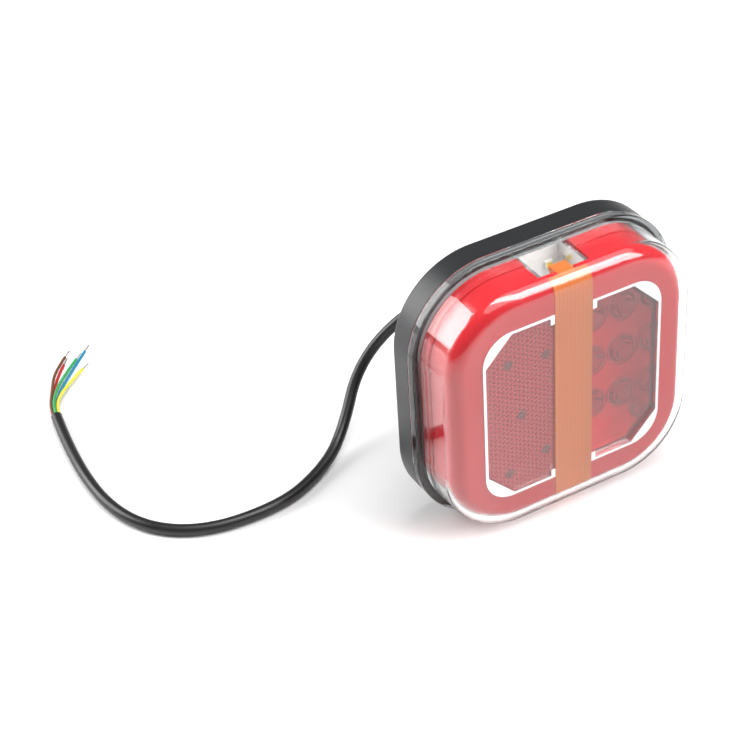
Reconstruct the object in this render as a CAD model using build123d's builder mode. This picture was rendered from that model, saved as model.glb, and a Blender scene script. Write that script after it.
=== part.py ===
"""Square LED trailer tail light: stop, tail, direction indicator, reflex reflector, number plate light.

Millimetres.  X runs to the right seen from the front, Y to the back, Z up.  The lamp stands on its
bottom edge with its front facing -Y.  Heights inside the lamp are "depths": the distance forward
from the flat back face, so depth 0 is the back and LAMP_DEPTH is the front of the clear cover.
"""
from build123d import *
from math import atan2, cos, degrees, pi, radians, sin, tan
import os

os.makedirs("parts", exist_ok=True)

# ---------------------------------------------------------------- overall size
LAMP_W = 102.0            # across the housing
LAMP_H = 100.0            # height of the housing
LAMP_DEPTH = 31.0         # back face to the front of the cover
CORNER_R = 30.0           # outer corners of the housing
STUD_OUT = 18.0           # stud thread standing out behind the back face
BACK_Y = (LAMP_DEPTH - STUD_OUT) / 2
MID_Z = LAMP_H / 2

# ---------------------------------------------------------------- housing
HOUSING_DEPTH = 9.5
BACK_WALL = 2.4
RIM = 4.6                 # width of the rim the cover is welded to
BACK_ROUND = 1.6
CHANNEL_W = 1.6           # channel in the rim for the cover's tongue and the sealing bead
CHANNEL_DEEP = 2.4
CHANNEL_IN = 1.5          # from the outside of the rim to the channel
SEAL_T = 0.8
BEAD_T = 0.4              # the milky silicone squeezes out in this layer between rim and cover
BEAD_IN = 0.3
COVER_SEAT = HOUSING_DEPTH + BEAD_T

# ---------------------------------------------------------------- mounting studs, M5
STUD_SPACING = 60.0
STUD_R = 2.5
STUD_SHOULDER_R = 3.0     # the stud is thicker inside the back wall
STUD_HEAD_AF = 8.0
STUD_HEAD_T = 3.5
STUD_BOSS_R = 6.5

# ---------------------------------------------------------------- clear cover
FLANGE_T = 3.6
FLANGE_ROUND = 0.6
COVER_IN = 2.6            # the cover's side wall stands this far inside the flange's edge
COVER_WALL = 2.1
COVER_FACE = 2.4
DRAFT = 2.4               # degrees of draft on the side wall
COVER_ROUND = 6.0         # the front edge is well rounded, outside
CAVITY_ROUND = 4.2        # and inside
TONGUE_W = 1.3

# ---------------------------------------------------------------- circuit board
BOARD_BACK = 6.4
BOARD_T = 1.6
BOARD_FRONT = BOARD_BACK + BOARD_T
FIT_GAP = 0.4             # clearance around pieces dropped into one another
SCREW_Z = 12.5
SCREW_R = 1.2
BOSS_R = 3.0

# ---------------------------------------------------------------- red light guide
GUIDE_IN = COVER_IN + COVER_WALL + FIT_GAP + 0.2     # outline of its rear skirt, inside the cover
GUIDE_W = LAMP_W - 2 * GUIDE_IN
GUIDE_H = LAMP_H - 2 * GUIDE_IN
GUIDE_R = CORNER_R - GUIDE_IN
GUIDE_STEP = 0.5          # the skirt's front part is this much smaller all round
GUIDE_STEP_DEPTH = 16.0
GUIDE_FRONT = LAMP_DEPTH - COVER_FACE - FIT_GAP
GUIDE_WALL = 1.8
GUIDE_FACE = 2.2
GUIDE_ROUND = 4.4
WINDOW_W = 20.0           # number plate light window in the top of the guide

# ---------------------------------------------------------------- front panels
STRIP_W = 14.8
STRIP_BACK = GUIDE_FRONT - 3.0
STRIP_FRONT = GUIDE_FRONT + FIT_GAP / 2
TAB_W = 6.4               # tab at the top of the strip, seen in the window
TAB_BACK = STRIP_BACK - 5.5
TAB_T = 1.8
WINDOW_FRONT = STRIP_BACK - 1.5
PANEL_X = 35.0            # outer edge of the bezels from the middle
PANEL_H = 66.8
PANEL_R = 11.0
BEZEL_LINE = 1.2
PANEL_CHAMFER = 10.0
BEZEL_STEP = 0.9          # ledge that the lens rests on
LENS_SEAT = STRIP_BACK - 0.6
REFLEX_T = 3.0
BRAKE_T = 2.4
PANEL_GAP = 0.1
STRIP_GAP = 0.1

# ---------------------------------------------------------------- reflector tray
TRAY_BAND = 8.6           # the tail diodes stand in this band between light guide and tray
TRAY_W = GUIDE_W - 2 * TRAY_BAND
TRAY_H = GUIDE_H - 2 * TRAY_BAND - 1.0
TRAY_R = 14.0
TRAY_BACK = 15.0
TRAY_T = 1.6
TRAY_FRONT = TRAY_BACK + TRAY_T
TRAY_WALL = 1.4
BOARD_X = GUIDE_W / 2 - 5.4
BOARD_Z = GUIDE_H / 2 - 6.2
TRAY_CUT_W = WINDOW_W + 2.0
TRAY_CUT_Z = PANEL_H / 2 - 9.4
POST_R = 1.7
TUNNEL_IN = STRIP_W / 2 + BEZEL_STEP          # the light tunnel behind a panel runs from here
TUNNEL_OUT = PANEL_X - BEZEL_LINE - BEZEL_STEP      # to here
POST_X = TUNNEL_IN + POST_R + 0.5
REFLEX_POSTS = [(-20.0, -2.0), (-POST_X, 18.5), (-POST_X, -20.5), (-25.0, 20.0), (-25.0, -24.5)]

# ---------------------------------------------------------------- light emitting diodes
LED_W = 3.0
LED_T = 0.9
LED_EYE_R = 1.1
LED_EYE_T = 0.2
BRAKE_X = (TUNNEL_IN * 0.75 + TUNNEL_OUT * 0.25, TUNNEL_IN * 0.25 + TUNNEL_OUT * 0.75)
BRAKE_Z = (-18.0, 0.0, 18.0)
BRAKE_POINTS = [(x, z) for x in BRAKE_X for z in BRAKE_Z]
INDICATOR_POINTS = [(0.0, z) for z in (-32.0, -21.0, -10.0, 10.0, 19.0)]
TAIL_POINTS = [(s * BOARD_X, z) for s in (-1, 1) for z in (-22.0, 0.0, 22.0)]
TAIL_POINTS += [(s * 22.0, t * BOARD_Z) for s in (-1, 1) for t in (-1, 1)]
PLATE_POINTS = [(-4.6, PANEL_H / 2 + 2.1), (4.6, PANEL_H / 2 + 2.1)]

# ---------------------------------------------------------------- cable
CORD_D = 4.2
CORE_D = 1.2
CORE_RING = 1.15          # the five cores sit on this radius inside the sheath
TIP_D = 0.8
CORE_STRAIGHT = 6.0       # the cores leave the sheath in its direction
GLAND_FLANGE_R = 7.0
GLAND_FLANGE_T = 1.2      # the flange lies in a recess, level with the back face
GLAND_RECESS_R = 7.2
GLAND_OUT = 14.0          # how far the gland's tapered nose reaches behind the back face
GLAND_NECK_R = 4.5
GLAND_WALL = 3.6          # thickness of the wall around the gland
GLAND_IN = 4.2            # depth of its inner face, inside the housing
LEAD_D = 1.3
LEAD_DEPTH = 5.45
LEAD_PADS = [(-13.0, z) for z in (-8.0, -4.0, 0.0, 4.0, 8.0)]

CORD_ROUTE = [
    (0.0, BACK_Y + GLAND_OUT, MID_Z), (0.0, 38.5, MID_Z), (-13.0, 53.2, 48.4), (-32.7, 65.0, 24.0),
    (-49.3, 50.8, 5.6), (-62.6, 41.3, 2.15), (-84.4, 31.5, 2.15), (-116.2, 34.5, 2.15),
    (-134.6, 55.2, 2.15), (-136.2, 93.4, 2.15), (-130.3, 124.1, 2.15),
]
# far ends of the cores: side and height inside the sheath, then the points each one passes
CORE_ROUTES = {
    "brown": (162, [(-125.6, 139.6), (-120.5, 149.8), (-112.9, 157.0)]),
    "red": (234, [(-124.6, 140.4), (-119.6, 148.6), (-114.8, 154.2)]),
    "green": (90, [(-124.2, 138.2), (-118.4, 144.6), (-110.1, 152.2)]),
    "blue": (306, [(-123.0, 139.0), (-114.9, 147.6), (-104.3, 158.0)]),
    "yellow": (18, [(-123.2, 136.2), (-116.6, 141.4), (-110.4, 145.8)]),
}
TIP_LEN = 4.5


def facing(depth, x=0.0, z=0.0):
    """Plane parallel to the front, looking forward, at a depth from the back face."""
    return Plane(origin=(x, BACK_Y - depth, MID_Z + z), x_dir=(1, 0, 0), z_dir=(0, -1, 0))


def side_on(x):
    """Plane seen from the right: local x runs forward from the back face, local y up."""
    return Plane(origin=(x, BACK_Y, MID_Z), x_dir=(0, -1, 0), z_dir=(-1, 0, 0))


def bend_radii(points):
    """Largest tangent bends that leave a tenth of each run straight."""
    radii = []
    for before, here, after in zip(points[:-2], points[1:-1], points[2:]):
        a, b, c = Vector(*before), Vector(*here), Vector(*after)
        turn = radians((b - a).get_angle(c - b))
        radii.append(0.45 * min((b - a).length, (c - b).length) / tan(turn / 2))
    return radii


def bezel_corner(side):
    """Sketch vertices picker: the two outer corners of a panel on this side."""
    return 0 if side < 0 else -1


# ================================================================ housing
with BuildPart() as rear_housing:
    with BuildSketch(facing(0)):
        RectangleRounded(LAMP_W, LAMP_H, CORNER_R)
    extrude(amount=HOUSING_DEPTH)
    fillet(rear_housing.edges().group_by(Axis.Y)[-1], BACK_ROUND)
    with BuildSketch(facing(BACK_WALL)):
        RectangleRounded(LAMP_W - 2 * RIM, LAMP_H - 2 * RIM, CORNER_R - RIM)
    extrude(amount=HOUSING_DEPTH - BACK_WALL, mode=Mode.SUBTRACT)
    # channel round the rim
    with BuildSketch(facing(HOUSING_DEPTH - CHANNEL_DEEP)):
        RectangleRounded(LAMP_W - 2 * CHANNEL_IN, LAMP_H - 2 * CHANNEL_IN, CORNER_R - CHANNEL_IN)
        RectangleRounded(
            LAMP_W - 2 * (CHANNEL_IN + CHANNEL_W), LAMP_H - 2 * (CHANNEL_IN + CHANNEL_W),
            CORNER_R - CHANNEL_IN - CHANNEL_W, mode=Mode.SUBTRACT,
        )
    extrude(amount=CHANNEL_DEEP, mode=Mode.SUBTRACT)
    # bosses under the board, with pilot holes for the screws
    with BuildSketch(facing(BACK_WALL)):
        with GridLocations(2 * BOARD_X, 2 * SCREW_Z, 2, 2):
            Circle(BOSS_R)
    extrude(amount=BOARD_BACK - BACK_WALL)
    with BuildSketch(facing(1.2)):
        with GridLocations(2 * BOARD_X, 2 * SCREW_Z, 2, 2):
            Circle(SCREW_R)
    extrude(amount=BOARD_BACK - 1.2, mode=Mode.SUBTRACT)
    # pockets that hold the stud heads, and the holes for the threads
    with BuildSketch(facing(BACK_WALL)):
        with GridLocations(STUD_SPACING, 0, 2, 1):
            Circle(STUD_BOSS_R)
            RegularPolygon(STUD_HEAD_AF / 2, 6, major_radius=False, mode=Mode.SUBTRACT)
    extrude(amount=STUD_HEAD_T - 0.5)
    with BuildSketch(facing(0)):
        with GridLocations(STUD_SPACING, 0, 2, 1):
            Circle(STUD_SHOULDER_R)
    extrude(amount=BACK_WALL, mode=Mode.SUBTRACT)
    # stiffening ribs across the floor of the housing
    with BuildSketch(facing(BACK_WALL)):
        with GridLocations(0, 42, 1, 2):
            Rectangle(70, 1.4)
        with Locations((-18, 0), (18, 0)):
            Rectangle(1.4, 42)
    extrude(amount=1.6)
    # thicker wall round the cable gland, with the recess for its flange
    with BuildSketch(facing(BACK_WALL)):
        Circle(GLAND_RECESS_R + 1.6)
    extrude(amount=GLAND_WALL - BACK_WALL)
    with BuildSketch(facing(0)):
        Circle(GLAND_RECESS_R)
    extrude(amount=GLAND_FLANGE_T, mode=Mode.SUBTRACT)
    with BuildSketch(facing(0)):
        Circle(GLAND_NECK_R)
    extrude(amount=GLAND_WALL, mode=Mode.SUBTRACT)
rear_housing.part.label = "rear_housing"
export_step(rear_housing.part, "parts/rear_housing.step")

with BuildPart() as lens_seal:
    with BuildSketch(facing(HOUSING_DEPTH - CHANNEL_DEEP)):
        RectangleRounded(LAMP_W - 2 * CHANNEL_IN, LAMP_H - 2 * CHANNEL_IN, CORNER_R - CHANNEL_IN)
        RectangleRounded(
            LAMP_W - 2 * (CHANNEL_IN + CHANNEL_W), LAMP_H - 2 * (CHANNEL_IN + CHANNEL_W),
            CORNER_R - CHANNEL_IN - CHANNEL_W, mode=Mode.SUBTRACT,
        )
    extrude(amount=SEAL_T)
    # the tongue stands in the rest of the channel, with silicone on both sides of it
    with BuildSketch(facing(HOUSING_DEPTH - CHANNEL_DEEP + SEAL_T)):
        RectangleRounded(LAMP_W - 2 * CHANNEL_IN, LAMP_H - 2 * CHANNEL_IN, CORNER_R - CHANNEL_IN)
        RectangleRounded(
            LAMP_W - 2 * (CHANNEL_IN + CHANNEL_W), LAMP_H - 2 * (CHANNEL_IN + CHANNEL_W),
            CORNER_R - CHANNEL_IN - CHANNEL_W, mode=Mode.SUBTRACT,
        )
    extrude(amount=CHANNEL_DEEP - SEAL_T)
    with BuildSketch(facing(HOUSING_DEPTH)):
        RectangleRounded(LAMP_W - 2 * BEAD_IN, LAMP_H - 2 * BEAD_IN, CORNER_R - BEAD_IN)
        RectangleRounded(LAMP_W - 2 * RIM, LAMP_H - 2 * RIM, CORNER_R - RIM, mode=Mode.SUBTRACT)
    extrude(amount=BEAD_T)
    with BuildSketch(facing(HOUSING_DEPTH - CHANNEL_DEEP + SEAL_T)):
        inset = CHANNEL_IN + (CHANNEL_W - TONGUE_W) / 2
        RectangleRounded(LAMP_W - 2 * inset, LAMP_H - 2 * inset, CORNER_R - inset)
        RectangleRounded(
            LAMP_W - 2 * (inset + TONGUE_W), LAMP_H - 2 * (inset + TONGUE_W),
            CORNER_R - inset - TONGUE_W, mode=Mode.SUBTRACT,
        )
    extrude(amount=COVER_SEAT - HOUSING_DEPTH + CHANNEL_DEEP - SEAL_T, mode=Mode.SUBTRACT)
lens_seal.part.label = "lens_seal"
export_step(lens_seal.part, "parts/lens_seal.step")

with BuildPart() as mounting_studs:
    with BuildSketch(facing(BACK_WALL)):
        with GridLocations(STUD_SPACING, 0, 2, 1):
            RegularPolygon(STUD_HEAD_AF / 2, 6, major_radius=False)
    extrude(amount=STUD_HEAD_T)
    with BuildSketch(facing(0)):
        with GridLocations(STUD_SPACING, 0, 2, 1):
            Circle(STUD_SHOULDER_R)
    extrude(amount=BACK_WALL)
    with BuildSketch(facing(-STUD_OUT)):
        with GridLocations(STUD_SPACING, 0, 2, 1):
            Circle(STUD_R)
    extrude(amount=STUD_OUT)
    chamfer(mounting_studs.edges().group_by(Axis.Y)[-1], 0.6)
mounting_studs.part.label = "mounting_studs"
export_step(mounting_studs.part, "parts/mounting_studs.step")

# ================================================================ clear cover
with BuildPart() as cover_cavity:
    with BuildSketch(facing(COVER_SEAT)):
        RectangleRounded(
            LAMP_W - 2 * (COVER_IN + COVER_WALL), LAMP_H - 2 * (COVER_IN + COVER_WALL),
            CORNER_R - COVER_IN - COVER_WALL,
        )
    extrude(amount=LAMP_DEPTH - COVER_SEAT - COVER_FACE, taper=DRAFT)
    fillet(cover_cavity.edges().group_by(Axis.Y)[0], CAVITY_ROUND)

with BuildPart() as outer_cover:
    with BuildSketch(facing(COVER_SEAT)):
        RectangleRounded(LAMP_W, LAMP_H, CORNER_R)
    extrude(amount=FLANGE_T - BEAD_T)
    fillet(outer_cover.edges().group_by(Axis.Y)[0], FLANGE_ROUND)
    with BuildSketch(facing(COVER_SEAT)):
        RectangleRounded(LAMP_W - 2 * COVER_IN, LAMP_H - 2 * COVER_IN, CORNER_R - COVER_IN)
    extrude(amount=LAMP_DEPTH - COVER_SEAT, taper=DRAFT)
    fillet(outer_cover.edges().group_by(Axis.Y)[0], COVER_ROUND)
    add(cover_cavity.part, mode=Mode.SUBTRACT)
    # tongue that goes into the channel of the rim
    with BuildSketch(facing(COVER_SEAT)):
        inset = CHANNEL_IN + (CHANNEL_W - TONGUE_W) / 2
        RectangleRounded(LAMP_W - 2 * inset, LAMP_H - 2 * inset, CORNER_R - inset)
        RectangleRounded(
            LAMP_W - 2 * (inset + TONGUE_W), LAMP_H - 2 * (inset + TONGUE_W),
            CORNER_R - inset - TONGUE_W, mode=Mode.SUBTRACT,
        )
    extrude(amount=-(CHANNEL_DEEP - SEAL_T + BEAD_T))
outer_cover.part.label = "outer_cover"
export_step(outer_cover.part, "parts/outer_cover.step")

# ================================================================ red light guide
with BuildPart() as red_light_guide:
    with BuildSketch(facing(BOARD_FRONT)):
        RectangleRounded(GUIDE_W, GUIDE_H, GUIDE_R)
    extrude(amount=GUIDE_STEP_DEPTH - BOARD_FRONT)
    with BuildSketch(facing(GUIDE_STEP_DEPTH)):
        RectangleRounded(GUIDE_W - 2 * GUIDE_STEP, GUIDE_H - 2 * GUIDE_STEP, GUIDE_R - GUIDE_STEP)
    extrude(amount=GUIDE_FRONT - GUIDE_STEP_DEPTH)
    fillet(red_light_guide.edges().group_by(Axis.Y)[0], GUIDE_ROUND)
    with BuildSketch(facing(BOARD_FRONT)):
        inset = GUIDE_STEP + GUIDE_WALL
        RectangleRounded(GUIDE_W - 2 * inset, GUIDE_H - 2 * inset, GUIDE_R - inset)
    extrude(amount=GUIDE_FRONT - GUIDE_FACE - BOARD_FRONT, mode=Mode.SUBTRACT)
    # slot for the amber strip, over the full height
    with BuildSketch(facing(STRIP_BACK)):
        Rectangle(STRIP_W, LAMP_H)
    extrude(amount=LAMP_DEPTH - STRIP_BACK, mode=Mode.SUBTRACT)
    # openings for the two panels
    for side in (-1, 1):
        with BuildSketch(facing(STRIP_BACK)) as opening:
            with Locations((side * PANEL_X / 2, 0)):
                Rectangle(PANEL_X, PANEL_H)
            fillet(opening.vertices().group_by(Axis.X)[bezel_corner(side)], PANEL_R)
        extrude(amount=LAMP_DEPTH - STRIP_BACK, mode=Mode.SUBTRACT)
    # number plate light window, open to the back
    with BuildSketch(facing(BOARD_FRONT)):
        with Locations((0, GUIDE_H / 2)):
            Rectangle(WINDOW_W, 8)
    extrude(amount=WINDOW_FRONT - BOARD_FRONT, mode=Mode.SUBTRACT)
    with BuildSketch(facing(BOARD_FRONT)):
        with Locations((0, GUIDE_H / 2)):
            Rectangle(TAB_W + 2 * STRIP_GAP, 8)
    extrude(amount=LAMP_DEPTH - BOARD_FRONT, mode=Mode.SUBTRACT)
red_light_guide.part.label = "red_light_guide"
export_step(red_light_guide.part, "parts/red_light_guide.step")

with BuildPart() as amber_strip:
    strip_h = GUIDE_H - 2 * GUIDE_STEP
    # its ends are rounded like the guide's front edge
    with BuildSketch(facing(GUIDE_STEP_DEPTH)):
        Rectangle(LAMP_W, strip_h)
    extrude(amount=STRIP_FRONT - GUIDE_STEP_DEPTH)
    fillet(amber_strip.edges().group_by(Axis.Y)[0].filter_by(Axis.X), GUIDE_ROUND)
    with BuildSketch(facing(STRIP_BACK)):
        Rectangle(STRIP_W - 2 * STRIP_GAP, strip_h)
    extrude(amount=STRIP_FRONT - STRIP_BACK, mode=Mode.INTERSECT)
    with BuildSketch(facing(TAB_BACK)):
        with Locations((0, strip_h / 2 - 0.4 - TAB_T / 2)):
            Rectangle(TAB_W, TAB_T)
    extrude(amount=STRIP_BACK - TAB_BACK)
amber_strip.part.label = "amber_strip"
export_step(amber_strip.part, "parts/amber_strip.step")


# ================================================================ bezels and panels
def panel_sketch(side, line, gap):
    """Outline of a panel's lens: straight at the strip, chamfered at its outer corners."""
    inner = STRIP_W / 2 + gap
    outer = PANEL_X - line
    height = PANEL_H - 2 * line
    with BuildSketch() as outline:
        with Locations((side * (inner + outer) / 2, 0)):
            Rectangle(outer - inner, height)
        chamfer(outline.vertices().group_by(Axis.X)[bezel_corner(side)], PANEL_CHAMFER)
    return outline.sketch


for side, name in ((-1, "left_bezel"), (1, "right_bezel")):
    with BuildPart() as bezel:
        with BuildSketch(facing(TRAY_FRONT)) as frame:
            edge = STRIP_W / 2 - 1.2
            with Locations((side * (edge + PANEL_X - PANEL_GAP) / 2, 0)):
                Rectangle(PANEL_X - PANEL_GAP - edge, PANEL_H - 2 * PANEL_GAP)
            fillet(frame.vertices().group_by(Axis.X)[bezel_corner(side)], PANEL_R)
        extrude(amount=STRIP_BACK - TRAY_FRONT)
        with BuildSketch(facing(STRIP_BACK)) as rim:
            edge = STRIP_W / 2
            with Locations((side * (edge + PANEL_X - PANEL_GAP) / 2, 0)):
                Rectangle(PANEL_X - PANEL_GAP - edge, PANEL_H - 2 * PANEL_GAP)
            fillet(rim.vertices().group_by(Axis.X)[bezel_corner(side)], PANEL_R)
        extrude(amount=STRIP_FRONT - STRIP_BACK)
        # the light tunnel behind the lens, then the seat of the lens
        with BuildSketch(facing(TRAY_FRONT)):
            add(panel_sketch(side, BEZEL_LINE + BEZEL_STEP, BEZEL_STEP))
        extrude(amount=LENS_SEAT - TRAY_FRONT, mode=Mode.SUBTRACT)
        with BuildSketch(facing(LENS_SEAT)):
            add(panel_sketch(side, BEZEL_LINE, 0))
        extrude(amount=STRIP_FRONT - LENS_SEAT, mode=Mode.SUBTRACT)
        # small feet where the line meets the strip
        with BuildSketch(facing(LENS_SEAT + REFLEX_T)):
            for end in (-1, 1):
                with Locations((side * (STRIP_W / 2 + 0.8), end * (PANEL_H / 2 - 2.0))):
                    Rectangle(1.6, 3.6)
        extrude(amount=STRIP_FRONT - LENS_SEAT - REFLEX_T)
    bezel.part.label = name
    export_step(bezel.part, f"parts/{name}.step")

with BuildPart() as reflex_reflector:
    with BuildSketch(facing(LENS_SEAT)):
        add(panel_sketch(-1, BEZEL_LINE + PANEL_GAP, PANEL_GAP))
    extrude(amount=REFLEX_T)
reflex_reflector.part.label = "reflex_reflector"
export_step(reflex_reflector.part, "parts/reflex_reflector.step")

with BuildPart() as brake_lens:
    with BuildSketch(facing(LENS_SEAT)):
        add(panel_sketch(1, BEZEL_LINE + PANEL_GAP, PANEL_GAP))
    extrude(amount=BRAKE_T)
brake_lens.part.label = "brake_lens"
export_step(brake_lens.part, "parts/brake_lens.step")

# ================================================================ reflector tray
COLLAR_FLANGE_R = (TUNNEL_OUT - TUNNEL_IN) / 4 - 0.25
COLLAR_R = COLLAR_FLANGE_R - 0.7
with BuildPart() as reflector_tray:
    with BuildSketch(facing(BOARD_FRONT)):
        RectangleRounded(TRAY_W, TRAY_H, TRAY_R)
    extrude(amount=TRAY_FRONT - BOARD_FRONT)
    with BuildSketch(facing(BOARD_FRONT)):
        RectangleRounded(TRAY_W - 2 * TRAY_WALL, TRAY_H - 2 * TRAY_WALL, TRAY_R - TRAY_WALL)
    extrude(amount=TRAY_BACK - BOARD_FRONT, mode=Mode.SUBTRACT)
    with BuildSketch(facing(BOARD_FRONT)):
        with Locations((0, (TRAY_CUT_Z + TRAY_H / 2 + 5) / 2)):
            Rectangle(TRAY_CUT_W, TRAY_H / 2 + 5 - TRAY_CUT_Z)
    extrude(amount=TRAY_FRONT - BOARD_FRONT, mode=Mode.SUBTRACT)
    with BuildSketch(facing(TRAY_BACK)):
        with Locations(*BRAKE_POINTS):
            Circle(COLLAR_R)
        with Locations((0, -6.5)):
            RectangleRounded(7.0, 58.0, 3.0)
    extrude(amount=TRAY_T, mode=Mode.SUBTRACT)
    with BuildSketch(facing(TRAY_FRONT)):
        with Locations(*REFLEX_POSTS):
            Circle(POST_R)
    extrude(amount=LENS_SEAT - TRAY_FRONT)
reflector_tray.part.label = "reflector_tray"
export_step(reflector_tray.part, "parts/reflector_tray.step")

SCOOP_W = WINDOW_W - 2 * FIT_GAP
SCOOP_SIDE = 1.2
SCOOP_END = WINDOW_FRONT - 0.3
SCOOP_TOP = GUIDE_H / 2 - 1.0
over_bezel = PANEL_H / 2 + FIT_GAP
under_tab = SCOOP_TOP - TAB_T - 0.8
# underside of the scoop and, on top of it, its reflecting face, as (depth, height above the middle)
SCOOP_BELOW = [
    (BOARD_FRONT, over_bezel - 6.8), (TRAY_BACK - 2.5, over_bezel - 5.3), (TRAY_FRONT - 0.3, over_bezel),
    (SCOOP_END - 3.2, over_bezel + 2.5), (SCOOP_END - 0.6, under_tab - 1.6), (SCOOP_END, under_tab),
]
SCOOP_ABOVE = [
    (SCOOP_END - 1.3, under_tab), (SCOOP_END - 1.8, under_tab - 1.1), (SCOOP_END - 4.2, over_bezel + 3.8),
    (TRAY_FRONT - 1.4, over_bezel + 1.4), (TRAY_BACK - 3.2, over_bezel - 3.5), (BOARD_FRONT, over_bezel - 4.8),
]
with BuildPart() as plate_lamp_reflector:
    # scoop that turns the light of the two white diodes up through the window
    with BuildSketch(side_on(SCOOP_W / 2)):
        with BuildLine():
            Polyline(*SCOOP_BELOW, *SCOOP_ABOVE, close=True)
        make_face()
    extrude(amount=SCOOP_W)
    for x in (SCOOP_W / 2, SCOOP_SIDE - SCOOP_W / 2):
        with BuildSketch(side_on(x)):
            with BuildLine():
                Polyline(*SCOOP_BELOW, (SCOOP_END, SCOOP_TOP), (BOARD_FRONT, SCOOP_TOP), close=True)
            make_face()
        extrude(amount=SCOOP_SIDE)
plate_lamp_reflector.part.label = "plate_lamp_reflector"
export_step(plate_lamp_reflector.part, "parts/plate_lamp_reflector.step")

with BuildPart() as brake_collimators:
    for x, z in BRAKE_POINTS:
        with BuildSketch(facing(BOARD_FRONT + LED_T + LED_EYE_T + 0.1, x, z)):
            Circle(2.3)
        with BuildSketch(facing(TRAY_BACK, x, z)):
            Circle(COLLAR_R - 0.1)
        loft()
        with BuildSketch(facing(TRAY_BACK, x, z)):
            Circle(COLLAR_R - 0.1)
        extrude(amount=TRAY_T)
        with BuildSketch(facing(TRAY_FRONT, x, z)):
            Circle(COLLAR_FLANGE_R)
        extrude(amount=1.0)
        with BuildSketch(facing(TRAY_FRONT + 1.0, x, z)):
            Circle(COLLAR_R - 1.2)
        extrude(amount=1.0, taper=30)
brake_collimators.part.label = "brake_collimators"
export_step(brake_collimators.part, "parts/brake_collimators.step")

# ================================================================ circuit board and what is on it
with BuildPart() as main_circuit_board:
    with BuildSketch(facing(BOARD_BACK)):
        RectangleRounded(GUIDE_W + 0.4, GUIDE_H + 0.4, GUIDE_R + 0.2)
        with GridLocations(2 * BOARD_X, 2 * SCREW_Z, 2, 2):
            Circle(SCREW_R + 0.2, mode=Mode.SUBTRACT)
        with Locations(*LEAD_PADS):
            Circle(LEAD_D / 2 + 0.1, mode=Mode.SUBTRACT)
    extrude(amount=BOARD_T)
main_circuit_board.part.label = "main_circuit_board"
export_step(main_circuit_board.part, "parts/main_circuit_board.step")

with BuildPart() as board_screws:
    with BuildSketch(facing(1.2)):
        with GridLocations(2 * BOARD_X, 2 * SCREW_Z, 2, 2):
            Circle(SCREW_R)
    extrude(amount=BOARD_FRONT - 1.2)
    with BuildSketch(facing(BOARD_FRONT)):
        with GridLocations(2 * BOARD_X, 2 * SCREW_Z, 2, 2):
            Circle(2.1)
    extrude(amount=1.5)
    fillet(board_screws.edges().group_by(Axis.Y)[0], 0.6)
    with BuildSketch(facing(BOARD_FRONT + 1.5)):
        with GridLocations(2 * BOARD_X, 2 * SCREW_Z, 2, 2):
            Rectangle(1.9, 0.5)
            Rectangle(0.5, 1.9)
    extrude(amount=-0.8, mode=Mode.SUBTRACT)
board_screws.part.label = "board_screws"
export_step(board_screws.part, "parts/board_screws.step")

for name, points in (
    ("tail_leds", TAIL_POINTS), ("brake_leds", BRAKE_POINTS),
    ("indicator_leds", INDICATOR_POINTS), ("plate_leds", PLATE_POINTS),
):
    with BuildPart() as leds:
        with BuildSketch(facing(BOARD_FRONT)):
            with Locations(*points):
                Rectangle(LED_W, LED_W)
        extrude(amount=LED_T)
        with BuildSketch(facing(BOARD_FRONT + LED_T)):
            with Locations(*points):
                Circle(LED_EYE_R)
        extrude(amount=LED_EYE_T)
    leds.part.label = name
    export_step(leds.part, f"parts/{name}.step")

with BuildPart() as driver_chips:
    with BuildSketch(facing(BOARD_FRONT)):
        with Locations((-27.0, 12.0), (-27.0, -12.0)):
            Rectangle(3.9, 5.0)
    extrude(amount=1.6)
    with BuildSketch(facing(BOARD_FRONT)):
        with Locations((-27.0, 12.0), (-27.0, -12.0)):
            with GridLocations(5.2, 1.27, 2, 4):
                Rectangle(1.4, 0.42)
    extrude(amount=0.5)
driver_chips.part.label = "driver_chips"
export_step(driver_chips.part, "parts/driver_chips.step")

with BuildPart() as protection_diodes:
    with BuildSketch(facing(BOARD_FRONT)):
        with Locations(*[(-19.5, z) for _, z in LEAD_PADS[1:]]):
            Rectangle(4.4, 2.6)
    extrude(amount=2.2)
protection_diodes.part.label = "protection_diodes"
export_step(protection_diodes.part, "parts/protection_diodes.step")

with BuildPart() as resistors:
    with BuildSketch(facing(BOARD_FRONT)):
        with Locations((-17.0, 18.0), (-17.0, 22.0), (-22.0, 22.0), (-17.0, -18.0), (-17.0, -22.0),
                       (-22.0, -22.0), (20.75, 9.0), (20.75, -9.0)):
            Rectangle(3.2, 1.6)
    extrude(amount=0.6)
resistors.part.label = "resistors"
export_step(resistors.part, "parts/resistors.step")

with BuildPart() as filter_capacitor:
    with BuildSketch(facing(BOARD_FRONT)):
        with Locations((-28.5, 0.0)):
            RectangleRounded(6.6, 6.6, 0.5)
    extrude(amount=0.6)
    with BuildSketch(facing(BOARD_FRONT + 0.6)):
        with Locations((-28.5, 0.0)):
            Circle(3.15)
    extrude(amount=5.2)
    fillet(filter_capacitor.edges().group_by(Axis.Y)[0], 0.4)
filter_capacitor.part.label = "filter_capacitor"
export_step(filter_capacitor.part, "parts/filter_capacitor.step")

with BuildPart() as solder_joints:
    with BuildSketch(facing(BOARD_FRONT)):
        with Locations(*LEAD_PADS):
            Circle(1.5)
    extrude(amount=1.0, taper=28)
    with BuildSketch(facing(BOARD_FRONT)):
        with Locations(*LEAD_PADS):
            Circle(LEAD_D / 2)
    extrude(amount=1.0, mode=Mode.SUBTRACT)
solder_joints.part.label = "solder_joints"
export_step(solder_joints.part, "parts/solder_joints.step")

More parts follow.
